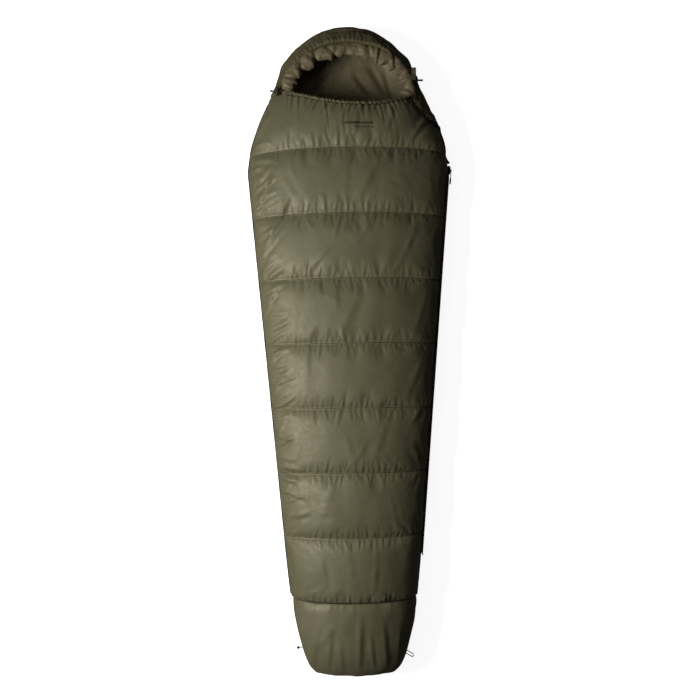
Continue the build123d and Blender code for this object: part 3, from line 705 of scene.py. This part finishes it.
hoodOuter = hoodOuter + hoodOut * hoodLift[..., None]
# The hood's outer taffeta carries painted shade in its colour
hood = paddedPiece("hood", hoodOuter, hoodInner, [shadedHoodNylon, liningNylon])
settle(hood, "shell_nylon", "root", "hood_shell", "hood_fill", "hood_lining")
print("hood made")


def tubeAlong(name, centre, wide, tall, around, material, frames=None):
    # a soft tube on a line of points; wide and tall are its half sizes, by point or by point and angle
    side, up = frames or framesOf(centre, skyward)
    angle = np.linspace(0, 2 * math.pi, around + 1)[:, None]
    wide, tall = (np.broadcast_to(size, (around + 1, len(centre))) for size in (wide, tall))
    sheet = centre + side * (wide * np.cos(angle))[..., None] + up * (tall * np.sin(angle))[..., None]
    sheet[-1] = sheet[0]
    sheet[:, 0], sheet[:, -1] = centre[0], centre[-1]  # both ends close to a point
    bm = bmesh.new()
    gridMesh(bm, sheet)
    bmesh.ops.remove_doubles(bm, verts=bm.verts[:], dist=0.02 * mm)
    bmesh.ops.recalc_face_normals(bm, faces=bm.faces[:])
    return finishPiece(bm, name, [material])


skyward = np.array([0.0, 0.0, 1.0])


def framesOf(points, up):  # side and up at each point of a line
    tangent = np.gradient(points, axis=0)
    tangent /= np.linalg.norm(tangent, axis=1, keepdims=True)
    side = np.cross(np.broadcast_to(up, points.shape), tangent)
    side /= np.linalg.norm(side, axis=1, keepdims=True)
    return side, np.cross(tangent, side)


# The rim of the hood: a soft band drawn together on its cord
hoodRim = {"columns": 360, "around": 44, "inset": 19 * mm, "height": 140 * mm, "wide": 21 * mm,
           "tall": 14 * mm, "gather": (2.0, 9.0), "spacing": (0.018, 0.085)}
rimTurns = np.radians(np.linspace(184, -12, hoodRim["columns"] + 1))
rimHeights = np.full((len(rimTurns), 1), hoodRim["height"])
rimCentre = np.concatenate([onOval(rimTurns, hoodRim["inset"]), rimHeights], 1)
rimSide, rimUp = framesOf(rimCentre, skyward)
rimShare = np.linspace(0, 1, hoodRim["columns"] + 1)[None, :]
rimAngle = np.linspace(0, 2 * math.pi, hoodRim["around"] + 1)[:, None]
inwardSign = -1 if rimSide[len(rimSide) // 2, 1] > 0 else 1
towardsInside = (1 + inwardSign * np.cos(rimAngle)) / 2
swell = np.zeros((hoodRim["around"] + 1, hoodRim["columns"] + 1))
spot = 0.0
while spot < 1:  # each gather is a bulge between two tucks
    width, high = random.uniform(0.007, 0.028), random.uniform(*hoodRim["gather"]) * mm
    slant = random.normal(0, 0.045)
    off = rimShare - spot - slant * towardsInside
    swell += high * bulge(off, width) * (0.25 + 0.75 * towardsInside)
    swell -= 0.9 * high * bulge(off - 1.7 * width, 0.55 * width) * (0.35 + 0.65 * towardsInside)
    spot += random.uniform(*hoodRim["spacing"])
swell += rolling(swell.shape, (5, 7), 1.4 * mm)
swell[-1] = swell[0]
endClose = np.clip(np.minimum(rimShare, 1 - rimShare) / 0.012, 0, 1) ** 0.5
zipCorner = np.hypot(rimCentre[:, 0] - 0.205, rimCentre[:, 1] - 0.895)
raised = 9 * mm * bulge(zipCorner, 0.024)[None, :]  # the rim stands up at the zip's top
rimPiece = tubeAlong("hoodRim", rimCentre, (hoodRim["wide"] + swell) * endClose,
                     (hoodRim["tall"] + 0.7 * swell + raised) * endClose, hoodRim["around"], liningNylon,
                     (rimSide, rimUp))
settle(rimPiece, "lining_nylon", "root", "hood_rim")
print("hood rim made")

# The chest hem, gathered on its cord, and the cord inside it
chestHem = {"columns": 420, "around": 18, "radius": 4.4 * mm, "bead": 15 * mm, "lift": 6.5 * mm}
edgeLine = topOuter[-1][(topOuter[-1][:, 0] > -0.2) & (topOuter[-1][:, 0] < 0.192)]
hemLine = pointsAlong(edgeLine + np.array([0, -4.0, 0]) * mm, np.linspace(0, 1, chestHem["columns"] + 1))
hemLine[:, 2] = surfaceHeight(hemLine[:, 0], hemLine[:, 1]) + chestHem["lift"]
hemSide, hemUp = framesOf(hemLine, skyward)
hemRun = runAlong(hemLine)
phase = hemRun / chestHem["bead"] * 2 * math.pi + 2.6 * np.sin(hemRun * 31) + 1.7 * np.sin(hemRun * 83)
hemEnds = np.clip(np.minimum(hemRun, hemRun[-1] - hemRun) / (4 * mm), 0, 1) ** 0.5
beads = 1 + 0.22 * np.sin(phase) * (0.6 + 0.4 * np.sin(hemRun * 47 + 1)) + 0.1 * np.sin(hemRun * 131)
hemRadius = chestHem["radius"] * beads * hemEnds
# The hem's darker taffeta is painted shade of its creases
hemPiece = tubeAlong("chestHem", hemLine + hemSide * (0.9 * mm * np.cos(phase))[:, None], hemRadius * 1.1,
                     hemRadius, chestHem["around"], creaseShadeNylon, (hemSide, hemUp))
settle(hemPiece, "shell_nylon", "fold", "chest_hem", "chest_hem_flap")
cordInHem = tubeAlong("chestDrawcord", hemLine[2:-2], 1.5 * mm, 1.5 * mm, 10, braidedCord,
                      (hemSide[2:-2], hemUp[2:-2]))
settle(cordInHem, "cord", "fold", "chest_drawcord", "chest_drawcord_flap")


def meshOf(piece):  # applies a piece's modifiers
    final = bpy.data.meshes.new_from_object(piece.evaluated_get(bpy.context.evaluated_depsgraph_get()))
    piece.modifiers.clear()
    piece.data = final
    return final


def repeated(name, size, bevel, pitch, length, material):  # one small block, again and again along x
    bm = bmesh.new()
    bmesh.ops.create_cube(bm, size=1.0)
    bmesh.ops.scale(bm, vec=size, verts=bm.verts[:])
    bmesh.ops.bevel(bm, geom=bm.edges[:], offset=bevel, offset_type="OFFSET", segments=1, profile=0.5,
                    affect="EDGES", material=-1)
    bmesh.ops.translate(bm, vec=(size[0] / 2, 0, 0), verts=bm.verts[:])
    piece = finishPiece(bm, name, [material], smooth=False)
    array = piece.modifiers.new("row", "ARRAY")
    array.use_relative_offset = False
    array.use_constant_offset = True
    array.constant_offset_displace = (pitch, 0, 0)
    array.count = max(int(length / pitch), 1)
    meshOf(piece)
    return piece


def laidAlong(piece, points, ups, lift=0.0):  # bends a row along x onto a line of points
    run = runAlong(points)
    side, up = framesOf(points, ups)
    mesh = piece.data
    flat = np.zeros(len(mesh.vertices) * 3)
    mesh.vertices.foreach_get("co", flat)
    flat = flat.reshape(-1, 3)
    centre, side, up = (np.stack([np.interp(flat[:, 0], run, column) for column in group.T], -1)
                        for group in (points, side, up))
    bent = centre + side * flat[:, 1:2] + up * (flat[:, 2:3] + lift)
    mesh.vertices.foreach_set("co", bent.ravel())
    mesh.update()
    return piece


def joined(name, parts):
    bm = bmesh.new()
    for part in parts:
        bm.from_mesh(part.data)
    materials = list(parts[0].data.materials)
    for part in parts:
        bpy.data.objects.remove(part)
    return finishPiece(bm, name, materials, smooth=False)


# Stitches along every sewn seam of the top, and beside the chest and zip edges
stitch = {"size": (4.2 * mm, 1.7 * mm, 0.8 * mm), "bevel": 0.25 * mm, "pitch": 4.9 * mm}
topOut = normalsOf(topOuter)
every = topQuilt["seamRows"]
stitchLines = [(topOuter[row, 2:-2], topOut[row, 2:-2]) for row in range(0, 7 * every + 1, every)]
stitchLines.append((topOuter[-3, 10:-4], topOut[-3, 10:-4]))
rowsStitched = []
for line, ups in stitchLines:
    row = repeated("stitchRow", stitch["size"], stitch["bevel"], stitch["pitch"], runAlong(line)[-1],
                   sewingThread)
    rowsStitched.append(laidAlong(row, line, ups, lift=0.15 * mm))
stitches = joined("seamStitches", rowsStitched)
settle(stitches, "cord", "fold")
print("stitches made")


# The zip: teeth and tapes on the right side, curving up over the shoulder
def zipPoint(y, up, out):
    scale = math.hypot(1, sideSlope)
    y = np.asarray(y, float)
    x = sideMid + sideSlope * y + out / scale
    return np.stack([x, y - sideSlope * out / scale, sideZ + up + 0 * y], -1)


zipGauge = {"tooth": (1.5 * mm, 3.1 * mm, 2.6 * mm), "bevel": 0.4 * mm, "pitch": 2.3 * mm, "half": 2.85 * mm,
            "out": 5.3 * mm}
backStraight = zipPoint(np.linspace(-0.7, 0.631, 60), -zipGauge["half"], zipGauge["out"])
topStraight = zipPoint(np.linspace(-0.7, 0.589, 60), zipGauge["half"], zipGauge["out"])
zipArcEdge = topOuter[-1][topOuter[-1][:, 0] > 0.206]
shoulderY = np.linspace(0.642, 0.738, 12)
shoulderRun = np.stack([np.interp(shoulderY, topOuter[:, -1, 1], topOuter[:, -1, 0]) - 1.4 * mm, shoulderY,
                        sideZ + np.linspace(-2.4, 2.0, 12) * mm], -1)
backUpper = np.concatenate([zipPoint([0.635], -2.9 * mm, 0.5 * mm), shoulderRun,
                            zipArcEdge[::-1][5:] + np.array([1.6, 2.0, 2.6]) * mm])
flapUpper = zipArcEdge[::-1][3:] + np.array([-1.8, -1.8, 4.2]) * mm


def easedLine(points, count, passes=6):
    line = pointsAlong(points, np.linspace(0, 1, count))
    for _ in range(passes):
        line[1:-1] = (line[:-2] + line[1:-1] * 2 + line[2:]) / 4
    return line


def teethOn(line, ups):
    length = runAlong(line)[-1]
    row = repeated("toothRow", zipGauge["tooth"], zipGauge["bevel"], zipGauge["pitch"], length, coilNylon)
    return laidAlong(row, line, ups)


outwardSide = np.array([1.0, -sideSlope, 0.0]) / math.hypot(1, sideSlope)
backTeeth = joined("zipTeethBack", [teethOn(backStraight, outwardSide),
                                    teethOn(easedLine(backUpper, 60), np.array([0.35, 0.15, 0.92]))])
settle(backTeeth, "zip_coil", "root", "zip_coil_back")
topTeeth = joined("zipTeethTop", [teethOn(topStraight, outwardSide),
                                  teethOn(easedLine(flapUpper, 50), np.array([0.35, 0.15, 0.92]))])
settle(topTeeth, "zip_coil", "fold", "zip_coil_fixed", "zip_coil_flap")


def strip(name, line, side, wide, thick, material, rows=4, wave=0.0):  # a woven tape along a line of points
    share = np.linspace(0, 1, rows + 1)[:, None, None]
    out = np.cross(np.gradient(line, axis=0), np.broadcast_to(side, line.shape))
    out /= np.linalg.norm(out, axis=1, keepdims=True)
    run = runAlong(line)
    ripple = (wave * np.sin(run * 47 + 0.6 * np.sin(run * 19)))[:, None] * share
    bm = bmesh.new()
    gridMesh(bm, line + side * share * wide + out * ripple)
    piece = finishPiece(bm, name, [material])
    wall = piece.modifiers.new("wall", "SOLIDIFY")
    wall.thickness = thick
    wall.offset = 0
    meshOf(piece)
    return piece


# The tapes turn in to the panels they are sewn to: line, direction, width, ripple, body and solids
upright = np.array([0, 0, 0.84])
tapeRows = {
    "zipTapeBack": (zipPoint(np.linspace(-0.7, 0.631, 150), -4.2 * mm, 5.5 * mm),
                    -upright - 0.54 * outwardSide, 14 * mm, 0.5 * mm, "root", ["zip_tape_back"]),
    "zipTapeTop": (zipPoint(np.linspace(-0.7, 0.589, 150), 4.2 * mm, 5.5 * mm),
                   upright - 0.54 * outwardSide, 14 * mm, 0.5 * mm, "fold",
                   ["zip_tape_fixed", "zip_tape_flap"]),
    "zipTapeShoulder": (easedLine(backUpper, 90) + np.array([0.5, 1.0, -1.5]) * mm,
                        np.array([0.62, 0.55, -0.56]), 11 * mm, 0.6 * mm, "root", []),
    "zipTapeFlapEdge": (easedLine(flapUpper, 70) + np.array([0.0, 0.0, -1.5]) * mm,
                        np.array([-0.72, -0.62, 0.3]), 10 * mm, 0.6 * mm, "top_flap", []),
}
for name, (line, side, wide, wave, body, solids) in tapeRows.items():
    tape = strip(name, line, side, wide, 0.8 * mm, wovenTape, wave=wave)
    settle(tape, "binding_tape", body, *solids)
print("zip made")


def heightOver(spots):  # height of the top quilt's shell over spots in plan
    flat = topOuter[7 * topQuilt["seamRows"]:].reshape(-1, 3)
    found = []
    for spot in spots.reshape(-1, 2):
        distance = ((flat[:, :2] - spot) ** 2).sum(1)
        closest = np.argsort(distance)[:4]
        weight = 1 / (distance[closest] + 1e-8)
        found.append((flat[closest, 2] * weight).sum() / weight.sum())
    return np.array(found).reshape(spots.shape[:-1])


# A plain printed mark in the middle of the chest: two bars
printBars = {"bars": [((-14, 732), (84, 739)), ((22, 721), (84, 724))], "lift": 0.5 * mm, "thick": 0.25 * mm}
barPieces = []
for low, high in printBars["bars"]:
    xs, ys = (np.linspace(low[i], high[i], count) * mm for i, count in enumerate((37, 5)))
    barPlan = np.stack(np.meshgrid(xs, ys), -1)
    bm = bmesh.new()
    gridMesh(bm, np.concatenate([barPlan, heightOver(barPlan)[..., None] + printBars["lift"]], -1))
    bar = finishPiece(bm, "bar", [screenInk])
    skin = bar.modifiers.new("skin", "SOLIDIFY")
    skin.thickness = printBars["thick"]
    meshOf(bar)
    barPieces.append(bar)
printMark = joined("chestMark", barPieces)
settle(printMark, "shell_nylon", "fold")

# The binding of the left side seam
sideBinding = {"from": -0.836, "to": 0.85, "points": 400, "wide": 1.7 * mm, "tall": 1.9 * mm, "out": 1.6 * mm,
               "bead": 0.011}
bindingY = np.linspace(sideBinding["from"], sideBinding["to"], sideBinding["points"])
bindingLine = np.stack([-bodySize("half", bindingY) - sideBinding["out"], bindingY,
                        np.full_like(bindingY, sideZ)], -1)
bindingSwell = 1 + 0.14 * np.sin(bindingY * 2 * math.pi / sideBinding["bead"]) + 0.1 * np.sin(bindingY * 63)
binding = tubeAlong("sideBinding", bindingLine, sideBinding["wide"] * bindingSwell,
                    sideBinding["tall"] * bindingSwell, 10, wovenTape)
settle(binding, "binding_tape", "root", "side_binding")

# The draft tube that lies behind the zip
draftTube = {"end": 0.006, "points": 240, "inFromZip": 50 * mm, "height": 77 * mm, "radius": 12 * mm}
draftLow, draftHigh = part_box("draft_tube")
draftY = np.linspace(draftLow.y + draftTube["end"], draftHigh.y - draftTube["end"], draftTube["points"])
draftLine = np.stack([sideMid + sideSlope * draftY - draftTube["inFromZip"], draftY,
                      np.full_like(draftY, draftTube["height"])], -1)
draftSwell = 1 + 0.07 * np.sin(draftY * 52 + 2 * np.sin(draftY * 13)) + 0.04 * np.sin(draftY * 141)
draftRadius = draftTube["radius"] * draftSwell
draft = tubeAlong("draftTube", draftLine, draftRadius, draftRadius, 20, liningNylon)
settle(draft, "lining_nylon", "root", "draft_tube")

# The hanging loop at the foot: two straight runs of webbing joined by half rounds
hangingLoop = {"middle": (183, -1047, 80.4), "straight": 15.3, "round": 5.1, "wide": 7.4 * mm,
               "thick": 1.1 * mm}
loopTurns = np.linspace(0, 2 * math.pi, 65)
aside = np.sign(np.cos(loopTurns)) * (np.abs(np.cos(loopTurns)) > 1e-6)
loopOut = hangingLoop["straight"] * aside + hangingLoop["round"] * np.cos(loopTurns)
loopAside = hangingLoop["round"] * np.sin(loopTurns)
loopDirection, loopAcross = np.array([0.86, -0.51, 0]), np.array([0.51, 0.86, 0])
loopLine = (np.array(hangingLoop["middle"]) + loopOut[:, None] * loopDirection
            + loopAside[:, None] * loopAcross) * mm
# Its tape is coloured light as a painted highlight
footLoop = strip("footLoop", loopLine, skyward, hangingLoop["wide"], hangingLoop["thick"], highlightTape)
settle(footLoop, "binding_tape", "root", "foot_loop")

# The tab that holds the top of the zip shut
tab = {"from": 0.896, "to": 0.938, "side": 0.2175, "height": 0.1618, "wide": 15 * mm, "thick": 1.4 * mm,
       "rise": 0.5 * mm}
tabY = np.linspace(tab["from"], tab["to"], 22)
tabLine = np.stack([np.full_like(tabY, tab["side"]), tabY,
                    tab["height"] + tab["rise"] * np.sin((tabY - tab["from"]) * 150)], -1)
neckTab = strip("neckTab", tabLine, np.array([1.0, 0, 0]), tab["wide"], tab["thick"], wovenTape, rows=6)
settle(neckTab, "hook_tape", "neck_tab", "neck_tab")
print("small fabric parts made")

# Carried-over parts and their finishes
finishes = {
    braidedCord: ["hood_drawcord", "hood_cord_ends", "hood_cord_knot", "chest_cord_ends", "chest_cord_knot",
                  "foot_cord_knob"],
    coilNylon: ["zip_top_stop_back", "zip_top_stop_flap", "zip_bottom_stop"],
    enamelledZinc: ["zip_slider", "slider_pin", "zip_pull"],
    softRubber: ["pull_grip"],
    mouldedAcetal: ["hood_lock_barrel", "hood_lock_button", "collar_lock_barrel", "collar_lock_button"],
    springWire: ["hood_lock_spring", "collar_lock_spring"],
    hookPile: ["neck_tab_hook", "loop_patch"],
}
for material, names in finishes.items():
    for name in names:
        nodes[name].data.materials.clear()
        nodes[name].data.materials.append(material)
print("finishes set")

# Floor and light
floorMesh = bmesh.new()
bmesh.ops.create_grid(floorMesh, x_segments=1, y_segments=1, size=8)
floorPale, floorTree = newMaterial("palePaperFloor")
floorShader = addNode(floorTree, "ShaderNodeBsdfPrincipled", {
    "Base Color": linear("#f2f2f2"), "Roughness": 0.9, "Emission Color": (1, 1, 1, 1),
    "Emission Strength": 0.9})
closeMaterial(floorTree, floorShader)
floor = finishPiece(floorMesh, "floor", [floorPale])
floor.visible_diffuse = False
floor.visible_glossy = False

lamps = {"key": {"place": (-1.85, -0.15, 1.75), "aim": (0.0, 0.0, 0.1), "size": 1.0, "power": 88},
         "top": {"place": (-0.7, 0.3, 3.0), "aim": (0.0, 0.1, 0.0), "size": 1.6, "power": 4}}
for name, lamp in lamps.items():
    data = bpy.data.lights.new(name, "AREA")
    data.size = lamp["size"]
    data.energy = lamp["power"]
    light = bpy.data.objects.new(name, data)
    light.location = lamp["place"]
    light.rotation_euler = (Vector(lamp["aim"]) - Vector(lamp["place"])).to_track_quat("-Z", "Y").to_euler()
    scene.collection.objects.link(light)
world = bpy.data.worlds.new("dimStudio")
world.use_nodes = True
world.node_tree.nodes["Background"].inputs["Color"].default_value = (1, 1, 1, 1)
world.node_tree.nodes["Background"].inputs["Strength"].default_value = 0.035
scene.world = world
